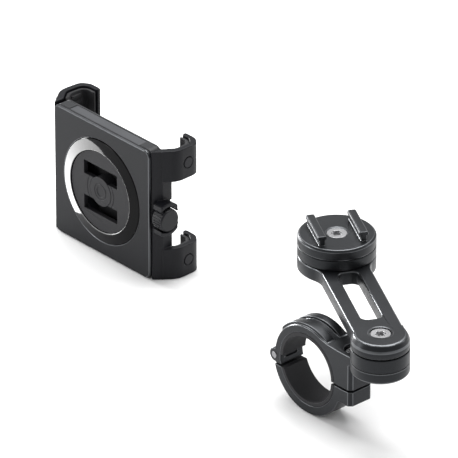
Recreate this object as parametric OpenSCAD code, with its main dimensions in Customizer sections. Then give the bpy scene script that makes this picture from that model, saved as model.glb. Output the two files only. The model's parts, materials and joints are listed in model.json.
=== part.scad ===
// Phone mount for a motorcycle handlebar, in its two halves.
// The origin is the centre of the handlebar bore. +Y runs along the bar and +Z is up.
// The bar clamp carries a swinging arm with a turning head. The phone clamp stands beside it, undocked.

/* [Bar clamp] */
// Diameter of the handlebar that the liners grip
bar_d = 31.8; // [31.2:0.1:32.4]
// Width of the clamp ring along the bar
ring_w = 14; // [13:0.5:16]
// Outer radius of the clamp ring
ring_r = 22; // [21.5:0.5:23]
// Radial thickness of the rubber liners
liner_t = 1.8; // [1.5:0.1:2]
// Diameter of the clamp screw's shank
screw_d = 4; // [3:0.5:4]

/* [Arm] */
// Distance between the two swivel axes
arm_len = 76; // [70:1:90]
// Width of the straight part of the arm
arm_w = 22.8; // [20:0.2:23]
// Thickness of the arm
arm_t = 7; // [6:0.5:8]
// Width of the long slot in the arm
slot_w = 9.6; // [6:0.2:10.4]
// Angle that the arm makes with the X axis
arm_angle = -28; // [-60:1:0]
// Radius of the boss at the lower swivel
boss_r = 13.3; // [13:0.1:14]

/* [Head] */
// Radius of the turning head
head_r = 18; // [17:0.5:20]
// Distance between the centre lines of the two rails
rail_gap = 19.4; // [19:0.1:20]
// Length of each rail
rail_len = 22; // [18:0.5:22]
// Width of the flange on top of each rail
rail_top_w = 4.2; // [4:0.1:4.4]
// Width of the web under each flange
rail_web_w = 2.6; // [2:0.1:3]

/* [Phone clamp] */
// Side of the square back plate
plate_w = 67; // [64:1:68]
// Depth of the body, from the back plate's face to the phone's side
body_d = 8; // [8:0.5:10]
// Outer radius of the gloss ring
trim_r = 26.5; // [25:0.5:27]
// Outer radius of the socket disc
disc_r = 20.4; // [19.8:0.1:21]
// Radius of the hub in the middle of the socket
hub_r = 7.3; // [6.5:0.1:7.4]
// Height of each claw
claw_h = 16; // [14:0.5:18]
// Radius of the thumb knob
knob_r = 5.6; // [5:0.1:5.8]

/* [Hidden] */
$fn = 64;
e = 0.01;
fit = 0.05;
free = 0.3;
seam = 0.2;
// Levels of the swivel stack above the bar's axis
base_z0 = 14;
base_z1 = 19.5;
disc_z1 = 26;
arm_z0 = disc_z1 + seam;
arm_z1 = arm_z0 + arm_t;
head_z0 = arm_z1 + seam;
head_z1 = head_z0 + 4.9;
head_z2 = head_z1 + 5.4;
boss_x = 40.4;
head_x = boss_x - arm_len * cos(arm_angle);
head_y = -arm_len * sin(arm_angle);
// The bar clamp's radii and lugs
bar_r = bar_d / 2;
bore_r = bar_r + liner_t;
band_r = ring_r - 0.8;
lug_x = 28.6;
lug_drop = 7.6;
split = 0.5;
pin_x = -ring_r + 0.6;
pin_z = -1.2;
pin_r = 1.5;
ear_r = 3.3;
ear_w = 3.6;
knuckle_w = ring_w - 2 * ear_w - 2 * free;
screw_x = 22.9;
screw_r = screw_d / 2;
screw_seat_z = 13;
nut_r = 3.5;
nut_t = 3;
nut_pocket_r = nut_r + 1.1;
nut_z1 = -lug_drop + 3.4;
screw_tip_z = nut_z1 - nut_t - 3.2;
// Swivel screws
swivel_r = 2.5;
csk_r = 4.6;
csk_t = 2.3;
star_r = 0.8;
star_pcd = 1.7;
star_deep = 1.8;
sunk = 0.4;
boss_flat_r = arm_w / 2 + 0.3;
boss_cham = 3.2;
// Rails
rail_h = 4.7;
rail_top_t = 1.8;
// Phone clamp, in its own frame: x across, y from the back plate towards the phone, z up
clamp_at = [-172.4, 21.7, plate_w / 2 - ring_r];
half = plate_w / 2;
corner_r = 3.5;
back_t = 2;
phone_y = body_d - 1;
disc_y0 = -0.6;
disc_y1 = 1.9;
cavity_r = 16.6;
slot_half = 11.6;
slot_z0 = 5.6;
slot_z1 = 12.6;
spindle_y = 4.5;
spindle_r = 1.6;
spindle_nut_r = 2.35;
spindle_in = 14.7;
tongue_z0 = 19.9;
tongue_z1 = 23;
tongue_in = 22;
tongue_y0 = 2.7;
tongue_y1 = phone_y - free;
spine_x0 = 0.5;
spine_x1 = 3.7;
spine_y0 = 0.9;
spine_cut = 4.1;
spine_y1 = 11;
window_z = 6.8;
guard_r0 = 6.5;
guard_r1 = 8.4;
guard_z0 = 3;
plug_turn = 2;
plug_r = 2.55;
plug_deep = 0.85;
plug_at = [7.98, 17.3];
pillar_x = 26;
pillar_z = 27.5;
panel_in = 18.4;
gap_z = half - claw_h + 0.5;
knob_x0 = 2.8;
knob_x1 = 8.6;
ridges = 24;

// Disc with its lower and upper edges chamfered
module chamfered_disc(r, h, low, high) {
  cylinder(r1 = r - low, r2 = r, h = low + e);
  translate([0, 0, low]) cylinder(r = r, h = h - low - high);
  translate([0, 0, h - high - e]) cylinder(r1 = r, r2 = r - high, h = high + e);
}

// Six-lobed driver recess, cut downwards from z = 0
module star_recess(deep) {
  translate([0, 0, -deep]) cylinder(r = star_pcd, h = deep + e);
  for (a = [0:60:300]) rotate(a) translate([star_pcd, 0, -deep]) cylinder(r = star_r, h = deep + e);
}

// Countersunk screw with its flat top at z = 0
module countersunk_screw(shank_r, length) {
  difference() {
    union() {
      translate([0, 0, -0.5]) cylinder(r = csk_r, h = 0.5);
      translate([0, 0, -csk_t]) cylinder(r1 = shank_r, r2 = csk_r, h = csk_t - 0.5 + e);
      translate([0, 0, -length]) cylinder(r = shank_r, h = length - csk_t + e);
    }
    translate([0, 0, e]) star_recess(star_deep);
  }
}

// Room for a countersunk screw whose flat top is at z = 0
module countersink(shank_r, length, room) {
  translate([0, 0, -0.5 - room]) cylinder(r = csk_r + room, h = 1 + room);
  translate([0, 0, -csk_t - room]) cylinder(r1 = shank_r + room, r2 = csk_r + room, h = csk_t - 0.5 + e);
  translate([0, 0, -length - 1]) cylinder(r = shank_r + room, h = length + 1);
}

// Prism along Y from an outline in the XZ plane
module along_bar(width) {
  rotate([90, 0, 0]) translate([0, 0, -width / 2]) linear_extrude(width) children();
}

// Cylinder along Y
module bar_cylinder(r, width) {
  rotate([90, 0, 0]) cylinder(r = r, h = width, center = true);
}

// Rectangle with round corners, exact arcs
module round_rect(w, h, r) {
  square([w - 2 * r, h], center = true);
  square([w, h - 2 * r], center = true);
  for (sx = [-1, 1], sy = [-1, 1]) translate([sx * (w / 2 - r), sy * (h / 2 - r)]) circle(r);
}

// Plate standing in the XZ plane, from depth y0 to y1
module standing_plate(w, h, r, y0, y1) {
  translate([0, y1, 0]) rotate([90, 0, 0]) linear_extrude(y1 - y0) round_rect(w, h, r);
}

// Cylinder along Y in the phone clamp, from depth y0 to y1
module deep_cylinder(r, y0, y1) {
  translate([0, y1, 0]) rotate([90, 0, 0]) cylinder(r = r, h = y1 - y0);
}

// Cylinder along X in the phone clamp
module side_cylinder(r, x0, x1) {
  translate([x0, spindle_y, 0]) rotate([0, 90, 0]) cylinder(r = r, h = x1 - x0);
}

// ---------------------------------------------------------------- bar clamp

module upper_outline() {
  difference() {
    union() {
      intersection() {
        circle(band_r);
        translate([-ring_r, pin_z - 3.4]) square([2 * ring_r, 2 * ring_r]);
      }
      polygon([[0, split], [0, band_r], [13, 18.4], [20, 18], [lug_x, base_z1 - 1.5], [lug_x, split]]);
    }
    translate([0, -ring_r]) square([2 * ring_r, ring_r + split]);
  }
}

module upper_ribs() {
  for (y = [-1, 1]) {
    translate([0, y * (ring_w / 4 + 0.4), 0]) intersection() {
      bar_cylinder(ring_r + 0.6, ring_w / 2 - 2.6);
      translate([-17.5, -ring_w, 9]) cube([30, 2 * ring_w, ring_r]);
    }
  }
}

module bar_clamp_upper() {
  color("#3b3e42") difference() {
    union() {
      along_bar(ring_w) upper_outline();
      upper_ribs();
      translate([pin_x, 0, pin_z]) bar_cylinder(ear_r, ring_w);
      translate([boss_x, 0, base_z0]) chamfered_disc(boss_r, base_z1 - base_z0, 0.8, 0.3);
      translate([lug_x - 4, -ring_w / 2, base_z0]) cube([10, ring_w, base_z1 - base_z0 - 1.5]);
    }
    bar_cylinder(bore_r, 3 * ring_w);
    translate([pin_x, 0, pin_z]) bar_cylinder(ear_r + free + 0.3, knuckle_w + 2 * free);
    translate([pin_x, 0, pin_z]) bar_cylinder(pin_r + fit, 2 * ring_w);
    translate([screw_x, 0, -1]) cylinder(r = screw_r + 0.2, h = ring_r);
    translate([screw_x, 0, screw_seat_z]) cylinder(r = 4.2, h = ring_r);
    translate([boss_x, 0, base_z0 - 1]) cylinder(r = swivel_r + fit, h = ring_r);
    for (y = [-1, 1]) translate([lug_x, y * ring_w / 2, -1]) rotate(45) cube([2.4, 2.4, 29], center = true);
  }
}

module lower_outline() {
  difference() {
    union() {
      circle(ring_r);
      translate([0, -lug_drop]) square([lug_x, lug_drop]);
    }
    translate([-2 * ring_r, -split]) square([5 * ring_r, 2 * ring_r]);
    translate([-2 * ring_r, pin_z - 4.4]) square([2 * ring_r, 2 * ring_r]);
  }
}

module bar_clamp_lower() {
  color("#3b3e42") difference() {
    union() {
      along_bar(ring_w) lower_outline();
      translate([pin_x, 0, pin_z]) bar_cylinder(ear_r, knuckle_w);
      translate([pin_x - ear_r, -knuckle_w / 2, pin_z - 7]) cube([ear_r + 1.5, knuckle_w, 7]);
      translate([pin_x - ear_r, -knuckle_w / 2, pin_z - 8]) cube([ear_r + 3.6, knuckle_w, 3.4]);
    }
    bar_cylinder(bore_r, 3 * ring_w);
    translate([pin_x, 0, pin_z]) bar_cylinder(pin_r + fit, 2 * ring_w);
    translate([screw_x, 0, -ring_r]) cylinder(r = screw_r + 1.2, h = 2 * ring_r);
    translate([screw_x, 0, -2 * ring_r + nut_z1]) cylinder(r = nut_pocket_r, h = 2 * ring_r);
    for (y = [-1, 1]) translate([lug_x, y * ring_w / 2, 0]) rotate(45) cube([2.4, 2.4, 40], center = true);
  }
}

module hinge_pin() {
  color("#8a8d90") translate([pin_x, 0, pin_z]) bar_cylinder(pin_r, ring_w + 0.6);
}

module clamp_screw() {
  head_z = screw_seat_z + 0.8;
  color("#b9bcbf") difference() {
    union() {
      translate([screw_x, 0, head_z]) chamfered_disc(3.5, 3, 0.1, 0.5);
      translate([screw_x, 0, screw_tip_z]) cylinder(r = screw_r, h = head_z - screw_tip_z + e);
    }
    translate([screw_x, 0, head_z + 3 + e]) star_recess(star_deep);
  }
}

module clamp_washer() {
  color("#8a8d90") translate([screw_x, 0, screw_seat_z]) difference() {
    cylinder(r = 4, h = 0.8);
    translate([0, 0, -1]) cylinder(r = screw_r + 0.15, h = 3);
  }
}

module clamp_nut() {
  color("#8a8d90") translate([screw_x, 0, nut_z1 - nut_t - 0.05]) difference() {
    cylinder(r = nut_r, h = nut_t, $fn = 6);
    translate([0, 0, -1]) cylinder(r = screw_r + fit, h = nut_t + 2);
  }
}

module liner_outline(up) {
  difference() {
    circle(bore_r);
    circle(bar_r);
    if (up) translate([-2 * bore_r, -2 * bore_r + 0.6]) square([4 * bore_r, 2 * bore_r]);
    if (!up) translate([-2 * bore_r, -0.6]) square([4 * bore_r, 2 * bore_r]);
    if (!up) translate([-2 * bore_r, pin_z - 4.4]) square([2 * bore_r, 2 * bore_r]);
  }
}

module upper_liner() {
  color("#232528") along_bar(ring_w) liner_outline(true);
}

module lower_liner() {
  color("#232528") along_bar(ring_w) liner_outline(false);
}

module pivot_disc() {
  color("#3b3e42") translate([boss_x, 0, base_z1]) difference() {
    chamfered_disc(boss_r, disc_z1 - base_z1, 0.3, 0.3);
    translate([0, 0, -1]) cylinder(r = swivel_r + fit, h = 20);
    translate([0, 0, disc_z1 - base_z1 - 0.8]) cylinder(r = 8, h = 2);
  }
}

module pivot_washer() {
  color("#8a8d90") translate([boss_x, 0, disc_z1 - 0.8]) difference() {
    cylinder(r = 7.9, h = 0.75);
    translate([0, 0, -1]) cylinder(r = swivel_r + 0.2, h = 3);
  }
}

module pivot_screw() {
  color("#b9bcbf") translate([boss_x, 0, arm_z1 - sunk]) countersunk_screw(swivel_r, arm_z1 - base_z0 - 0.6);
}

// ---------------------------------------------------------------- arm

// The fillet between the head's disc and one side of the arm. It starts a hair inside both.
module arm_fillet(side) {
  f = 12;
  hair = 0.03;
  cy = arm_w / 2 + f - hair;
  cx = sqrt(pow(head_r + f - hair, 2) - pow(cy, 2));
  mirror([0, side, 0]) difference() {
    polygon([[0, 0], [cx, cy], [cx, 0]]);
    translate([cx, cy]) circle(f);
  }
}

module arm_outline() {
  slot_0 = head_r + 0.6;
  slot_1 = arm_len - boss_r - 0.1;
  difference() {
    union() {
      circle(head_r);
      translate([0, -arm_w / 2]) square([arm_len, arm_w]);
      arm_fillet(0);
      arm_fillet(1);
    }
    translate([(slot_0 + slot_1) / 2, 0]) round_rect(slot_1 - slot_0, slot_w, 3.2);
  }
}

module arm() {
  color("#3b3e42") translate([head_x, head_y, arm_z0]) rotate(arm_angle) difference() {
    union() {
      linear_extrude(arm_t) arm_outline();
      translate([arm_len, 0, 0]) cylinder(r = boss_r, h = arm_t - boss_cham + e);
      translate([arm_len, 0, arm_t - boss_cham]) cylinder(r1 = boss_r, r2 = boss_flat_r, h = boss_cham);
    }
    translate([arm_len, 0, arm_t - sunk]) countersink(swivel_r, arm_t + 1, free);
    translate([arm_len, 0, arm_t - sunk]) cylinder(r = csk_r + 0.6, h = 1);
    translate([0, 0, -1]) cylinder(r = swivel_r + free, h = arm_t + 2);
    translate([0, 0, -1]) cylinder(r = 5, h = 4);
  }
}

// ---------------------------------------------------------------- head

module head_base() {
  color("#3b3e42") translate([head_x, head_y, head_z0]) difference() {
    chamfered_disc(head_r, head_z1 - head_z0, 0.3, 0.4);
    translate([0, 0, -1]) cylinder(r = swivel_r + fit, h = 20);
    translate([0, 0, -1]) cylinder(r = 9, h = 1.8);
  }
}

module rail() {
  t = rail_top_w / 2;
  w = rail_web_w / 2;
  top = rail_h;
  low = rail_h - rail_top_t;
  outline = [[-w, -0.2], [w, -0.2], [w, low], [t, low], [t, top - 0.5], [t - 0.5, top],
             [0.5 - t, top], [-t, top - 0.5], [-t, low], [-w, low]];
  rotate([90, 0, 90]) translate([0, 0, -rail_len / 2]) linear_extrude(rail_len) polygon(outline);
}

module head_plate() {
  color("#3b3e42") translate([head_x, head_y, head_z1]) rotate(arm_angle) difference() {
    union() {
      chamfered_disc(head_r, head_z2 - head_z1, 0.4, 1);
      for (s = [-1, 1]) translate([0, s * rail_gap / 2, head_z2 - head_z1]) rail();
    }
    translate([0, 0, head_z2 - head_z1 - sunk]) countersink(swivel_r, 8, fit);
    translate([0, 0, head_z2 - head_z1 - sunk]) cylinder(r = csk_r + 0.6, h = 1);
  }
}

module head_washer() {
  color("#8a8d90") translate([head_x, head_y, head_z0]) difference() {
    cylinder(r = 8.9, h = 0.8);
    translate([0, 0, -1]) cylinder(r = swivel_r + 0.2, h = 3);
  }
}

module head_screw() {
  top = head_z2 - sunk;
  color("#b9bcbf") translate([head_x, head_y, top]) countersunk_screw(swivel_r, top - arm_z0 - 0.4);
}

module head_nut() {
  color("#8a8d90") translate([head_x, head_y, arm_z0 + 0.2]) difference() {
    cylinder(r = 4.6, h = 2.5);
    translate([0, 0, -1]) cylinder(r = swivel_r + fit, h = 5);
  }
}

// ---------------------------------------------------------------- phone clamp body

module back_plate() {
  color("#3a3c41") translate(clamp_at) difference() {
    union() {
      standing_plate(plate_w, plate_w, corner_r, 0.5, back_t);
      standing_plate(plate_w - 1, plate_w - 1, corner_r - 0.5, 0, 0.6);
    }
    deep_cylinder(trim_r + fit, -1, 1.2);
    deep_cylinder(disc_r + fit, -1, back_t + 1);
  }
}

module gloss_ring() {
  color("#0c0c0e") translate(clamp_at) rotate([-90, 0, 0]) rotate_extrude() polygon([
    [disc_r + 0.15, 1.2], [disc_r + 0.15, -0.9], [disc_r + 0.5, -1.2], [trim_r - 0.4, -0.1],
    [trim_r, 0.3], [trim_r, 1.2]]);
}

module socket_slots(deep) {
  for (s = [-1, 1]) {
    translate([-slot_half, -2, s * (slot_z0 + slot_z1) / 2 - (slot_z1 - slot_z0) / 2])
      cube([2 * slot_half, deep + 2, slot_z1 - slot_z0]);
  }
}

module socket_disc() {
  color("#333438") translate(clamp_at) difference() {
    deep_cylinder(disc_r, disc_y0, disc_y1);
    socket_slots(6);
    deep_cylinder(hub_r + 0.1, -2, 6);
    difference() {
      deep_cylinder(9.4, -2, disc_y0 + 0.25);
      deep_cylinder(9.1, -3, 2);
    }
  }
}

module socket_hub() {
  color("#3c3d42") translate(clamp_at) difference() {
    deep_cylinder(hub_r, disc_y0 - 0.1, 6);
    for (r = [2.2, 4.2]) deep_cylinder(r, -2, disc_y0 + 0.15);
  }
  color("#3c3d42") translate(clamp_at) difference() {
    deep_cylinder(3.7, disc_y0 - 0.1, 0.5);
    deep_cylinder(2.6, -2, 1);
  }
}

module lock_spring() {
  color("#9a9c9f") translate(clamp_at) difference() {
    deep_cylinder(cavity_r - 0.3, 5.5, 6);
    deep_cylinder(hub_r + 0.2, 4, 7);
  }
}

// The four screwed pillars of the housing
module at_pillars() {
  for (sx = [-1, 1], sz = [-1, 1]) translate([sx * pillar_x, 0, sz * pillar_z]) children();
}

module clamp_housing() {
  color("#35373c") translate(clamp_at) difference() {
    union() {
      difference() {
        standing_plate(plate_w, plate_w, corner_r, back_t, phone_y);
        translate([-half - 1, 0, -tongue_z1 - free])
          cube([2 * half + 2, body_d, 2 * (tongue_z1 + free)]);
      }
      translate([-half + 1, back_t, -tongue_z0 + free])
        cube([2 * half - 2, phone_y - back_t, 2 * (tongue_z0 - free)]);
      translate([-8.5, back_t, -tongue_z1 - 1]) cube([17, phone_y - back_t, 2 * tongue_z1 + 2]);
    }
    deep_cylinder(cavity_r, 0, 6);
    side_cylinder(spindle_r + 0.4, cavity_r + 0.4, half + 2);
    side_cylinder(spindle_nut_r + fit, half - 7.5, half + 2);
    for (s = [-1, 1]) translate([0, body_d / 2, s * (half - 0.5)])
      cube([plate_w - panel_in + 0.4, 20, 3], center = true);
    at_pillars() deep_cylinder(1.05, 3, 10);
  }
}

module edge_panel(s) {
  translate(clamp_at) translate([0, (back_t + phone_y) / 2, s * (half - 1.1)])
    cube([plate_w - panel_in, phone_y - back_t - 0.1, 1.7], center = true);
}

module top_panel() {
  color("#4a4c52") edge_panel(1);
}

module bottom_panel() {
  color("#4a4c52") edge_panel(-1);
}

module phone_plate() {
  color("#35373c") translate(clamp_at) difference() {
    standing_plate(plate_w, plate_w, corner_r, phone_y, body_d);
    standing_plate(plate_w - 12, plate_w - 22, 2, body_d - 0.4, body_d + 1);
    at_pillars() deep_cylinder(2.2, 0, 10);
  }
}

module phone_mat() {
  color("#2a2b2e") translate(clamp_at)
    standing_plate(plate_w - 12.4, plate_w - 22.4, 1.8, body_d - 0.4, body_d + 0.5);
}

module name_strip() {
  color("#9b9da1") translate(clamp_at) translate([-20, body_d, -half + 2.4]) cube([40, 0.4, 4.6]);
}

module housing_screws() {
  color("#8a8d90") translate(clamp_at) at_pillars() difference() {
    union() {
      deep_cylinder(2, phone_y, body_d);
      deep_cylinder(1, 4, phone_y + e);
    }
    deep_cylinder(0.9, phone_y + 0.3, body_d + 1);
  }
}

// ---------------------------------------------------------------- jaws

// Outer side of a claw seen from above: x outward from the body's side, y towards the phone
claw_outer = [[0.5, 0.9], [8.2, 10.8], [7.8, 22.6], [3.4, 26], [-3.8, 26]];
claw_inner = [[-3.6, 23.5], [1.6, 23.5], [5, 21], [5.4, 12.4], [0.5, 6.6]];
pad_outer = [[1.1, 8], [4.9, 12.65], [4.55, 20.8], [1.45, 23.1], [-3.4, 23.1]];
pad_inner = [[-3.4, 21.8], [0.9, 21.8], [3.1, 20.1], [3.4, 13.5], [1.1, 10.6]];
rib_outline = [[2.4, 13.4], [3.7, 14], [3.5, 19.8], [2.5, 19.4], [2.3, 14.6]];

// Closed outline with each corner cut to a pair of points, times over
function rounded(pts, times) = times == 0 ? pts : rounded([
  for (i = [0:len(pts) - 1], k = [0.16, 0.84]) pts[i] * (1 - k) + pts[(i + 1) % len(pts)] * k], times - 1);

module claw_outline() {
  polygon(rounded(concat(claw_outer, claw_inner), 2));
  polygon([claw_outer[0], [3.2, 4.4], [3.2, 9], claw_inner[4]]);
}

module claw(z0) {
  translate([0, 0, z0]) linear_extrude(claw_h) claw_outline();
}

// The spine seen from above, cut back at a slant so that it hides behind the plate's edge
module spine_outline(deep) {
  polygon([[spine_x0, spine_y0], [spine_x1, spine_y0 + spine_cut], [spine_x1, deep], [spine_x0, deep]]);
}

// Both claws, the spine that joins them and the tongues that run in the housing
module jaw_solid(with_window) {
  claw(half - claw_h);
  claw(-half);
  difference() {
    union() {
      translate([0, 0, -half]) linear_extrude(plate_w) spine_outline(tongue_y1);
      translate([0, 0, -gap_z]) linear_extrude(2 * gap_z) spine_outline(spine_y1);
    }
    if (with_window) translate([spine_x0 + 2.1, -1, -window_z]) cube([10, 30, 2 * window_z]);
  }
}

// Curved guard over the knob
module knob_ear(s) {
  intersection() {
    difference() {
      side_cylinder(guard_r1, spine_x1 - 1.2, knob_x1 - 0.2);
      side_cylinder(guard_r0, 0, 10);
    }
    translate([0, 0.3, s > 0 ? guard_z0 : -guard_z0 - 17]) cube([10, spindle_y + 5.6, 17]);
  }
}

module jaw_tongues() {
  for (s = [-1, 1]) {
    translate([-tongue_in, tongue_y0, s * (tongue_z0 + tongue_z1) / 2 - (tongue_z1 - tongue_z0) / 2 + 0.15])
      cube([tongue_in + spine_x0 + 0.5, tongue_y1 - tongue_y0, tongue_z1 - tongue_z0 - 0.3]);
  }
}

module plug_places() {
  for (s = [-1, 1]) translate([plug_at[0], plug_at[1], s * (half - claw_h / 2)])
    rotate(plug_turn) children();
}

module plug_shape(r, x0, x1) {
  translate([x0, 0, 0]) rotate([0, 90, 0]) cylinder(r = r, h = x1 - x0);
}

module jaw_cuts() {
  plug_places() plug_shape(plug_r + free, -plug_deep - fit, 3);
}

// Rubber pad lining one claw, with ribs across it
module pad(z0) {
  translate([0, 0, z0 + 1]) linear_extrude(claw_h - 2) polygon(rounded(concat(pad_outer, pad_inner), 1));
  for (i = [0:3]) translate([0, 0, z0 + 2.6 + i * 3.2]) linear_extrude(1.2)
    polygon(rounded(rib_outline, 1));
}

module on_right() {
  translate(clamp_at) translate([half, 0, 0]) children();
}

module on_left() {
  translate(clamp_at) translate([-half, 0, 0]) mirror([1, 0, 0]) children();
}

module left_jaw() {
  color("#2c2d33") on_left() difference() {
    union() {
      jaw_solid(false);
      jaw_tongues();
    }
    jaw_cuts();
  }
}

module left_upper_pad() {
  color("#1d1e20") on_left() pad(half - claw_h);
}

module left_lower_pad() {
  color("#1d1e20") on_left() pad(-half);
}

module left_plugs() {
  color("#26272b") on_left() plug_places() plug_shape(plug_r, -plug_deep, 0.1);
}

module right_jaw() {
  color("#2c2d33") on_right() difference() {
    union() {
      jaw_solid(true);
      jaw_tongues();
      knob_ear(1);
      knob_ear(-1);
    }
    jaw_cuts();
    side_cylinder(spindle_r + 0.06, -1, 10);
    side_cylinder(3.2, -1, 1.5);
  }
}

module right_upper_pad() {
  color("#1d1e20") on_right() pad(half - claw_h);
}

module right_lower_pad() {
  color("#1d1e20") on_right() pad(-half);
}

module right_plugs() {
  color("#26272b") on_right() plug_places() plug_shape(plug_r, -plug_deep, 0.1);
}

// ---------------------------------------------------------------- thumb knob

module spindle() {
  color("#a5a7aa") on_right() side_cylinder(spindle_r, -spindle_in, knob_x1 - 1.5);
}

module spindle_clip() {
  color("#8a8d90") on_right() difference() {
    side_cylinder(2.9, 0.8, 1.4);
    side_cylinder(spindle_r + 0.02, 0, 3);
  }
}

module spindle_nut() {
  color("#b08d4a") on_right() difference() {
    side_cylinder(spindle_nut_r, -7.4, -1.4);
    side_cylinder(spindle_r + fit, -9, 0);
  }
}

module knob_barrel() {
  color("#2c2d33") on_right() difference() {
    union() {
      side_cylinder(knob_r - 0.4, knob_x0, knob_x1);
      for (i = [0:ridges - 1]) translate([0, spindle_y, 0]) rotate([i * 360 / ridges, 0, 0])
        translate([knob_x0 + 0.4, -0.3, knob_r - 0.7]) cube([knob_x1 - knob_x0 - 1, 0.6, 0.7]);
    }
    side_cylinder(spindle_r + 0.02, 0, knob_x1 - 1.5);
    side_cylinder(knob_r - 1.2, knob_x1 - 0.5, knob_x1 + 1);
  }
}

module knob_cap() {
  color("#35373c") on_right() union() {
    side_cylinder(knob_r - 1.3, knob_x1 - 0.5, knob_x1 + 0.1);
    translate([knob_x1, spindle_y, 0]) rotate([0, 90, 0]) cylinder(r1 = knob_r, r2 = knob_r - 0.5, h = 0.9);
  }
}

bar_clamp_upper();
bar_clamp_lower();
hinge_pin();
clamp_screw();
clamp_washer();
clamp_nut();
upper_liner();
lower_liner();
pivot_disc();
pivot_washer();
pivot_screw();
arm();
head_base();
head_plate();
head_washer();
head_screw();
head_nut();
back_plate();
gloss_ring();
socket_disc();
socket_hub();
lock_spring();
clamp_housing();
top_panel();
bottom_panel();
phone_plate();
phone_mat();
name_strip();
housing_screws();
left_jaw();
left_upper_pad();
left_lower_pad();
left_plugs();
right_jaw();
right_upper_pad();
right_lower_pad();
right_plugs();
spindle();
spindle_clip();
spindle_nut();
knob_barrel();
knob_cap();
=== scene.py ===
# %% [markdown]
# # A phone mount for a handlebar, in its two halves
# The frame holds every rigid piece at its true size: a bar clamp with a swinging arm and a turning
# head, and a square phone clamp that stands beside it. This lesson turns that plain frame into
# machined, anodised and moulded surfaces. Nothing is moved or resized on the way.

# %% Load the frame
import json
import math

import bmesh
import bpy
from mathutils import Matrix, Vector


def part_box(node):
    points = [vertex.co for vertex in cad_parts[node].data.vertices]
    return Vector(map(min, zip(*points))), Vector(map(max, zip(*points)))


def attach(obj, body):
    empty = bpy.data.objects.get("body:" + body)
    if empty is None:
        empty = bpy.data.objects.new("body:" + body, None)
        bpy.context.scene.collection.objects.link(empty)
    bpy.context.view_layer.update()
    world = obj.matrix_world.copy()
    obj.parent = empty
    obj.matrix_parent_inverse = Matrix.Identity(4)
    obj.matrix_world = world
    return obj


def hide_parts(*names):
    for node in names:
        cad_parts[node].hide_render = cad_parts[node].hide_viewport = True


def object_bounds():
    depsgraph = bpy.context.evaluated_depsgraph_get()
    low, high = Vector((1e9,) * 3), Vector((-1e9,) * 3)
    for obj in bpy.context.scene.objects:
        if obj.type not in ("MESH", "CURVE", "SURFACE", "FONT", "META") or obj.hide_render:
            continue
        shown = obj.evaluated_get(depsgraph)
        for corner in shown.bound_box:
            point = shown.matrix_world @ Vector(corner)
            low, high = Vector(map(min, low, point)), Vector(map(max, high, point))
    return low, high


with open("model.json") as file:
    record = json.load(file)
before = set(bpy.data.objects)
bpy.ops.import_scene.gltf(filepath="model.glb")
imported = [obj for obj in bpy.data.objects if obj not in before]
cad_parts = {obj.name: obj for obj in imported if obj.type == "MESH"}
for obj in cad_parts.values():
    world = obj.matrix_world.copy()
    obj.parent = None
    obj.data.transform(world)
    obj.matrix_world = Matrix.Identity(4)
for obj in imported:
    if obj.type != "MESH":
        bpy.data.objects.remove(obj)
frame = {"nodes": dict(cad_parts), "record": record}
cad_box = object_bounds()
record = frame["record"]
body_of_node = {n: b for b, members in record["behaviour"]["bodies"].items() for n in members}
slot_of_node = {s["node"]: s["material_slot"] for s in record["subparts"]}
MM = 0.001


def middle(node):
    low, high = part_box(node)
    return (Vector(low) + Vector(high)) / 2


# %% [markdown]
# ## Camera
# A small object looks true when it is seen from far away through a long lens, because parallel
# edges then stay nearly parallel. A camera could be placed by hand, but two angles and a distance
# are easier to read and to change. It aims to the left of the head, to take in both halves.

# %% Camera
AZIMUTH = math.radians(48)
ELEVATION = math.radians(28.5)
DISTANCE = 3.2
VIEW_WIDTH = 0.2063
AIM_LEFT_OF_HEAD = 0.0486
AIM_ABOVE_HEAD = 0.0018

back = Vector((math.sin(AZIMUTH) * math.cos(ELEVATION), -math.cos(AZIMUTH) * math.cos(ELEVATION),
               math.sin(ELEVATION)))
right = Vector((math.cos(AZIMUTH), math.sin(AZIMUTH), 0))
upward = back.cross(right)
head_top = middle("head_screw")
head_top.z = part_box("head_screw")[1][2]
aim = head_top - right * AIM_LEFT_OF_HEAD + upward * AIM_ABOVE_HEAD

camera = bpy.data.objects.new("camera", bpy.data.cameras.new("camera"))
bpy.context.scene.collection.objects.link(camera)
camera.location = aim + back * DISTANCE
camera.rotation_euler = (-back).to_track_quat("-Z", "Y").to_euler()
camera.data.lens = camera.data.sensor_width * DISTANCE / VIEW_WIDTH
camera.data.clip_start = 0.05
camera.data.clip_end = 20.0
bpy.context.scene.camera = camera
print("lens", round(camera.data.lens), "mm at", DISTANCE, "m")

# %% [markdown]
# ## Studio
# Dark metal shows its shape only by what it reflects, so a studio is a set of pale shapes to be
# mirrored. Spot lamps would make hard dots; wide area panels make soft sheens. The first and
# largest one hangs overhead and lights the flat tops.

# %% Overhead panel
floor_z = cad_box[0].z
stage_middle = (cad_box[0] + cad_box[1]) / 2


def panel(name, place, target, size, watts):
    lamp = bpy.data.lights.new(name, "AREA")
    lamp.shape = "RECTANGLE"
    lamp.size, lamp.size_y = size
    lamp.energy = watts
    piece = bpy.data.objects.new(name, lamp)
    bpy.context.scene.collection.objects.link(piece)
    piece.location = place
    piece.rotation_euler = (Vector(place) - Vector(target)).to_track_quat("Z", "Y").to_euler()
    return piece


overhead_place = stage_middle + Vector((-0.25, 0.35, 0.95))
panel("overhead_panel", overhead_place, stage_middle, size=(1.0, 0.7), watts=15)
print("stage floor at", round(floor_z, 4), "m")

# %% [markdown]
# ## A panel for the chamfers
# The arm's long chamfers are its brightest lines. A chamfer shines when a lamp stands just where
# it mirrors the camera, so the place of this panel is worked out from the chamfer's own slope.

# %% Chamfer panel
ARM_TURN = math.radians(28)


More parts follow.
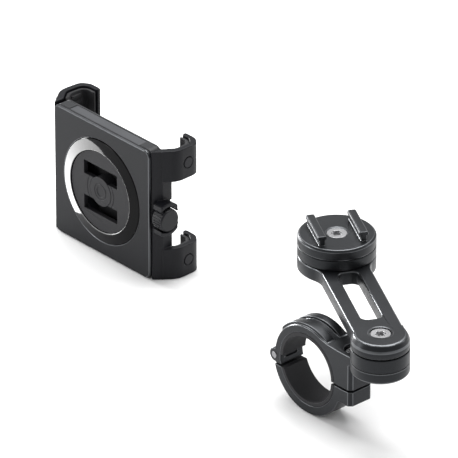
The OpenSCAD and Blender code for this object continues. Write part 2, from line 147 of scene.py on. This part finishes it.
def mirror_way(normal):
    """The way a ray from the camera leaves a face with this normal."""
    n = Vector(normal).normalized()
    return 2 * n.dot(back) * n - back


arm_side = Vector((-math.sin(ARM_TURN), -math.cos(ARM_TURN), 0))
chamfer_way = mirror_way(arm_side + Vector((0, 0, 1)))
panel("chamfer_panel", stage_middle + chamfer_way, stage_middle, size=(0.3, 0.3), watts=13)
print("chamfers look towards", [round(v, 2) for v in chamfer_way])

# %% [markdown]
# ## Side panels
# Upright walls mirror what stands beside them. Two tall and narrow panels, one on each side, draw
# a soft line down the round discs; the left one is the stronger, so that the form turns.

# %% Side panels
left_place = stage_middle - right * 0.95 + back * 0.1 + Vector((0, 0, 0.22))
right_place = stage_middle + right - back * 0.2 + Vector((0, 0, 0.5))
panel("left_panel", left_place, stage_middle, size=(0.2, 0.6), watts=4)
panel("right_panel", right_place, stage_middle, size=(0.2, 0.5), watts=2)
print("side panels at", [round(v, 2) for v in left_place], [round(v, 2) for v in right_place])

# %% [markdown]
# ## A white room
# Lamps alone would leave the dark metal with hard black shadows. An even white world stands for
# the walls and the ceiling of the studio, and half strength is enough to fill the shadows. The
# view transform is the plain one, so that white paper stays white.

# %% White room
ROOM_STRENGTH = 0.5
world = bpy.data.worlds.new("white_room")
world.use_nodes = True
room = world.node_tree.nodes["Background"]
room.inputs["Color"].default_value = (1, 1, 1, 1)
room.inputs["Strength"].default_value = ROOM_STRENGTH
bpy.context.scene.world = world
bpy.context.scene.view_settings.view_transform = "Standard"
print("room strength", ROOM_STRENGTH)

# %% [markdown]
# ## Shared effects
# Three effects come back in nearly every finish: a fine grain, as left by bead blasting or by a
# textured mould; slow cloudy changes of tone; and edge wear. Copied into each material they would
# be hard to keep alike, so they are two node groups with named inputs, made by one helper.


# %% New group
def new_group(name, inputs, outputs):
    tree = bpy.data.node_groups.new(name, "ShaderNodeTree")
    for label, kind, value in inputs:
        tree.interface.new_socket(label, in_out="INPUT", socket_type=kind).default_value = value
    for label, kind in outputs:
        tree.interface.new_socket(label, in_out="OUTPUT", socket_type=kind)
    return tree, tree.nodes.new("NodeGroupInput"), tree.nodes.new("NodeGroupOutput")


print("groups are made by", new_group.__name__)

# %% [markdown]
# ## Grain and clouds
# Blasted metal and textured plastic are rough at two scales: a grain too fine to see one by one,
# and slow drifts over some centimetres. One noise texture for each gives both in one group.


# %% Grain group
def make_grain_group():
    tree, source, sink = new_group(
        "fine_grain",
        [("Scale", "NodeSocketFloat", 3000.0), ("Cloud Scale", "NodeSocketFloat", 60.0)],
        [("Height", "NodeSocketFloat"), ("Cloud", "NodeSocketFloat")])
    place = tree.nodes.new("ShaderNodeTexCoord")
    for label, socket, detail in (("Height", "Scale", 2.0), ("Cloud", "Cloud Scale", 4.0)):
        noise = tree.nodes.new("ShaderNodeTexNoise")
        noise.inputs["Detail"].default_value = detail
        tree.links.new(place.outputs["Object"], noise.inputs["Vector"])
        tree.links.new(source.outputs[socket], noise.inputs["Scale"])
        tree.links.new(noise.outputs["Fac"], sink.inputs[label])
    return tree


GRAIN = make_grain_group()
print("node group:", GRAIN.name)

# %% [markdown]
# ## Edge wear
# Paint and anodising thin out on edges. A Bevel node rounds the normal over a small radius, and
# where that differs from the true normal there is an edge. One minus their dot product, times a
# gain, is the mask.


# %% Wear group
def make_wear_group():
    tree, source, sink = new_group(
        "edge_wear",
        [("Radius", "NodeSocketFloat", 0.0005), ("Gain", "NodeSocketFloat", 3.0)],
        [("Mask", "NodeSocketFloat")])
    bevel = tree.nodes.new("ShaderNodeBevel")
    bevel.samples = 4
    geometry = tree.nodes.new("ShaderNodeNewGeometry")
    dot = tree.nodes.new("ShaderNodeVectorMath")
    dot.operation = "DOT_PRODUCT"
    flip = tree.nodes.new("ShaderNodeMath")
    flip.operation = "SUBTRACT"
    flip.inputs[0].default_value = 1.0
    gain = tree.nodes.new("ShaderNodeMath")
    gain.operation = "MULTIPLY"
    gain.use_clamp = True
    tree.links.new(source.outputs["Radius"], bevel.inputs["Radius"])
    tree.links.new(bevel.outputs["Normal"], dot.inputs[0])
    tree.links.new(geometry.outputs["True Normal"], dot.inputs[1])
    tree.links.new(dot.outputs["Value"], flip.inputs[1])
    tree.links.new(flip.outputs[0], gain.inputs[0])
    tree.links.new(source.outputs["Gain"], gain.inputs[1])
    tree.links.new(gain.outputs[0], sink.inputs["Mask"])
    return tree


WEAR = make_wear_group()
print("node group:", WEAR.name)

# %% [markdown]
# ## One recipe for every finish
# Each finish is a Principled shader whose colour goes from a base tone to a worn tone by the wear
# mask, whose roughness drifts with the clouds, and whose surface carries the grain as a fine bump.
# What differs from finish to finish is only numbers, so they stand in one small table.


# %% The recipe
RELIEF_DEPTH = 0.00004
MIX_FROM, MIX_TO, MIX_COLOUR_OUT = 6, 7, 2


def placed_group(tree, group, **values):
    node = tree.nodes.new("ShaderNodeGroup")
    node.node_tree = group
    for label, value in values.items():
        node.inputs[label].default_value = value
    return node


def colour_mix(tree):
    node = tree.nodes.new("ShaderNodeMix")
    node.data_type = "RGBA"
    return node


def finish(name, tone, worn, rough, metallic=0.0, grain=3000, bump=0.15, drift=0.08,
           wear_radius=0.0004, wear_gain=2.0, specular=0.5, spread=0.12):
    material = bpy.data.materials.new(name)
    material.use_nodes = True
    tree = material.node_tree
    shader = tree.nodes["Principled BSDF"]
    shader.inputs["Metallic"].default_value = metallic
    shader.inputs["Specular IOR Level"].default_value = specular
    texture = placed_group(tree, GRAIN, Scale=grain)
    wear = placed_group(tree, WEAR, Radius=wear_radius, Gain=wear_gain)
    drifted = tree.nodes.new("ShaderNodeMapRange")
    drifted.inputs["To Min"].default_value = rough - drift
    drifted.inputs["To Max"].default_value = rough + drift
    tree.links.new(texture.outputs["Cloud"], drifted.inputs["Value"])
    tree.links.new(drifted.outputs["Result"], shader.inputs["Roughness"])
    shade = colour_mix(tree)
    shade.inputs[MIX_FROM].default_value = (*[c * (1 - spread) for c in tone], 1)
    shade.inputs[MIX_TO].default_value = (*[c * (1 + spread) for c in tone], 1)
    tree.links.new(texture.outputs["Cloud"], shade.inputs[0])
    mix = colour_mix(tree)
    mix.inputs[MIX_TO].default_value = (*worn, 1)
    tree.links.new(wear.outputs["Mask"], mix.inputs[0])
    tree.links.new(shade.outputs[MIX_COLOUR_OUT], mix.inputs[MIX_FROM])
    tree.links.new(mix.outputs[MIX_COLOUR_OUT], shader.inputs["Base Color"])
    relief = tree.nodes.new("ShaderNodeBump")
    relief.inputs["Strength"].default_value = bump
    relief.inputs["Distance"].default_value = RELIEF_DEPTH
    tree.links.new(texture.outputs["Height"], relief.inputs["Height"])
    tree.links.new(relief.outputs["Normal"], shader.inputs["Normal"])
    return material


print("one recipe:", finish.__name__)

# %% [markdown]
# ## The finishes
# Each surface of the mount has its own line: tone, worn tone, roughness, then what else differs.
# The metals are anodised near black, the plastics are blacker still, and only the screws, the
# strip and the brass nut are bright. A chamfer is cut after anodising, so it shows paler metal.

# %% Finishes
FINISHES = {
    "anodised": finish("anodised", (0.021, 0.0225, 0.025), (0.06, 0.062, 0.066), 0.38, metallic=0.6,
                       grain=2600, bump=0.3, wear_radius=0.0003, specular=0.3),
    "cut_chamfer": finish("cut_chamfer", (0.1, 0.104, 0.11), (0.1, 0.104, 0.11), 0.3, metallic=0.9,
                          grain=1500, bump=0.1, wear_gain=0.0),
    "bright_screw": finish("bright_screw", (0.42, 0.42, 0.43), (0.75, 0.75, 0.75), 0.3,
                           metallic=1.0, grain=1800, bump=0.2),
    "dark_steel": finish("dark_steel", (0.25, 0.25, 0.26), (0.5, 0.5, 0.5), 0.35, metallic=1.0),
    # The spring's near-black tone is painted shade for the hollow behind the socket's slots.
    "spring_painted_shade": finish("spring_painted_shade", (0.012, 0.012, 0.013), (0.04, 0.04, 0.042), 0.5,
                               metallic=0.4, specular=0.2),
    "rubber": finish("rubber", (0.018, 0.018, 0.02), (0.03, 0.03, 0.032), 0.72, grain=1500,
                     bump=0.5, specular=0.3),
    "plate_black": finish("plate_black", (0.009, 0.0095, 0.0115), (0.03, 0.031, 0.035), 0.36,
                          metallic=0.1, grain=3600, bump=0.22, specular=0.17),
    "gloss_black": finish("gloss_black", (0.001, 0.001, 0.0012), (0.001, 0.001, 0.0012), 0.06,
                          bump=0.0, drift=0.01, specular=0.08, wear_gain=0.0),
    "socket_black": finish("socket_black", (0.015, 0.015, 0.017), (0.04, 0.04, 0.044), 0.5,
                           grain=3200, bump=0.3, specular=0.2),
    "housing_black": finish("housing_black", (0.014, 0.015, 0.0175), (0.05, 0.05, 0.055), 0.45,
                            specular=0.3),
    "panel_grey": finish("panel_grey", (0.04, 0.042, 0.047), (0.08, 0.08, 0.09), 0.48,
                         grain=2200, bump=0.4, specular=0.4),
    "jaw_black": finish("jaw_black", (0.0065, 0.0068, 0.009), (0.03, 0.03, 0.034), 0.38, grain=3000,
                        bump=0.2, wear_radius=0.0006, specular=0.17),
    "plug_black": finish("plug_black", (0.011, 0.011, 0.014), (0.03, 0.03, 0.034), 0.5,
                         specular=0.2),
    "strip_silver": finish("strip_silver", (0.42, 0.43, 0.45), (0.6, 0.6, 0.6), 0.35, metallic=0.9),
    "brass": finish("brass", (0.5, 0.36, 0.15), (0.7, 0.55, 0.3), 0.3, metallic=1.0),
    "knob_black": finish("knob_black", (0.009, 0.0095, 0.0115), (0.04, 0.04, 0.045), 0.4,
                         wear_radius=0.0003, specular=0.2),
    "pale_floor": finish("pale_floor", (0.86, 0.86, 0.86), (0.86, 0.86, 0.86), 0.7, bump=0.0,
                         drift=0.01, wear_gain=0.0, spread=0.01),
}
print("finishes:", len(FINISHES))

# %% [markdown]
# ## Floor
# The floor is one wide sheet of matt paper, far larger than the mount, so that its edge stays out
# of view from most sides. It lies a hair below the frame, so that the two never fight for a place.

# %% Floor
FLOOR_SIDE = 12.0
FLOOR_SQUARES = 24
FLOOR_GAP = 0.02 * MM
floor_mesh = bpy.data.meshes.new("studio_floor")
sheet = bmesh.new()
bmesh.ops.create_grid(sheet, x_segments=FLOOR_SQUARES, y_segments=FLOOR_SQUARES,
                      size=FLOOR_SIDE / 2)
sheet.to_mesh(floor_mesh)
sheet.free()
floor = bpy.data.objects.new("studio_floor", floor_mesh)
bpy.context.scene.collection.objects.link(floor)
floor.location = (stage_middle.x, stage_middle.y, floor_z - FLOOR_GAP)
floor_mesh.materials.append(FINISHES["pale_floor"])
print("floor side", FLOOR_SIDE, "m")

# %% [markdown]
# ## Broken edges
# The frame's solids have knife edges. Real ones are broken by a cutter or by the mould, and that
# narrow band is what catches the light. A copy of each visible solid is welded, its flat faces are
# joined, and a Bevel modifier breaks every edge sharper than a given angle. Machined pieces get one
# flat chamfer with its own brighter finish; moulded pieces get a small round.


# %% Clean copy
SAME_PLANE = math.radians(0.6)


def clean_copy(node, sharper_than, weld):
    source = frame["nodes"][node].data
    mesh = bpy.data.meshes.new(node + "_finished")
    work = bmesh.new()
    places = [work.verts.new(v.co) for v in source.vertices]
    for face in source.polygons:
        corners = [places[i] for i in face.vertices]
        if work.faces.get(corners) is None:
            work.faces.new(corners)
    bmesh.ops.remove_doubles(work, verts=work.verts, dist=weld * MM)
    bmesh.ops.dissolve_limit(work, angle_limit=SAME_PLANE, verts=work.verts,
                             edges=work.edges)
    for edge in work.edges:
        edge.smooth = edge.calc_face_angle(0) < math.radians(sharper_than)
    work.to_mesh(mesh)
    work.free()
    return mesh


print("flat faces are joined below", round(math.degrees(SAME_PLANE), 1), "degrees")

# %% [markdown]
# ## Dressing a piece
# Bevels cut by hand would have to be made again after each change of the frame. A modifier does
# it afresh each time. Its overlap guard is off, because the finest facets of a round would stop
# the bevel everywhere. Weighted normals then keep the large faces flat beside their new edges.


# %% Dress
FLAT_FACE_WEIGHT = 80


def dress(node, width, steps=2, sharper_than=32, chamfer=None, weld=0.002):
    mesh = clean_copy(node, sharper_than, weld)
    piece = bpy.data.objects.new(node + "_finished", mesh)
    bpy.context.scene.collection.objects.link(piece)
    mesh.materials.append(FINISHES[slot_of_node[node]])
    for face in mesh.polygons:
        face.use_smooth = True
        face.material_index = 0
    edge = piece.modifiers.new("broken_edges", "BEVEL")
    edge.width = width * MM
    edge.segments = steps
    edge.limit_method = "ANGLE"
    edge.angle_limit = math.radians(sharper_than)
    edge.miter_outer = "MITER_ARC"
    edge.use_clamp_overlap = False
    if chamfer:
        mesh.materials.append(FINISHES[chamfer])
        edge.material = 1
    flats = piece.modifiers.new("flat_faces", "WEIGHTED_NORMAL")
    flats.weight = FLAT_FACE_WEIGHT
    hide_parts(node)
    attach(piece, body_of_node[node])
    return piece


print("pieces are dressed by", dress.__name__)

# %% [markdown]
# ## Which piece gets which edge
# The tables give each piece's edge width in millimetres. Cut metal gets one flat facet, and only
# the large pieces show it in the paler finish; moulded plastic gets a round of three facets; and
# turned parts get two.

# %% Edge widths
MACHINED = {"arm": 0.7, "head_plate": 0.25, "bar_clamp_upper": 0.3, "bar_clamp_lower": 0.25}
MOULDED = {"socket_disc": 0.2, "socket_hub": 0.15, "clamp_housing": 0.25,
           "top_panel": 0.15, "bottom_panel": 0.15, "phone_plate": 0.25, "phone_mat": 0.15,
           "name_strip": 0.1, "left_jaw": 0.45, "right_jaw": 0.45, "knob_barrel": 0.1,
           "knob_cap": 0.25, "left_plugs": 0.25, "right_plugs": 0.25, "upper_liner": 0.25,
           "lower_liner": 0.25, "left_upper_pad": 0.3, "left_lower_pad": 0.3,
           "right_upper_pad": 0.3, "right_lower_pad": 0.3}
TURNED = {"head_screw": 0.12, "pivot_screw": 0.12, "clamp_screw": 0.12, "hinge_pin": 0.25,
          "clamp_nut": 0.2, "head_nut": 0.2}
PLAIN_DISCS = {"head_base": 0.12, "pivot_disc": 0.12}
FACET_WELD = 0.05
print("edge widths for", len(MACHINED) + len(MOULDED) + len(TURNED) + len(PLAIN_DISCS), "pieces")

# %% Break the edges
for node, width in MACHINED.items():
    dress(node, width, steps=1, sharper_than=20, chamfer="cut_chamfer", weld=FACET_WELD)
for node, width in PLAIN_DISCS.items():
    dress(node, width, steps=1, weld=FACET_WELD)
for node, width in MOULDED.items():
    dress(node, width, steps=3, sharper_than=28)
ring_piece = dress("gloss_ring", 0.08, steps=3, sharper_than=28)
dress("back_plate", 0.3, steps=1, chamfer="cut_chamfer")
for node, width in TURNED.items():
    dress(node, width, steps=2)
dressed = {"back_plate", "gloss_ring", *MACHINED, *PLAIN_DISCS, *MOULDED, *TURNED}
print("dressed:", len(dressed), "pieces")

# %% [markdown]
# ## A lamp for the gloss ring
# The gloss ring is almost black, so it shows only what it mirrors. Its coned face looks down to the
# left. A small round lamp stands there, unseen by the camera, and lights nothing but the ring, so
# that its upper left arc turns bright while the rest stays black. Painting a pale arc on the ring
# would be simpler, but it would stay there in every light.

# %% Ring lamp
GLOW_FROM_RING = Vector((-0.024, -0.012, -0.0075))
GLOW_WAY = Vector((0.684, 0.718, -0.13))
GLOW_WIDTH = 0.056
GLOW_WATTS = 0.2
glow_place = middle("gloss_ring") + GLOW_FROM_RING
glow = panel("ring_glow", glow_place, glow_place + GLOW_WAY, (GLOW_WIDTH, GLOW_WIDTH),
             GLOW_WATTS)
glow.data.shape = "DISK"
glow.visible_camera = False
lit_by_glow = bpy.data.collections.new("lit_by_glow")
lit_by_glow.objects.link(ring_piece)
glow.light_linking.receiver_collection = lit_by_glow

# %% [markdown]
# ## Pieces that stay plain
# Washers, the spring and the other inner pieces keep the frame's own mesh and only take a finish.
# The spring lies behind the two slots of the socket, which read as black holes on the real clamp,
# so its finish is near black as painted shade for those slots, and not the bare steel of the
# washers.

# %% Inner pieces
# The spring takes the near-black finish that stands in for the shade inside the socket's slots.
OWN_FINISH = {"lock_spring": "spring_painted_shade"}
for node, piece in frame["nodes"].items():
    piece.data.materials.clear()
    piece.data.materials.append(FINISHES[OWN_FINISH.get(node, slot_of_node[node])])
print("kept as they are:", sorted(set(frame["nodes"]) - dressed))
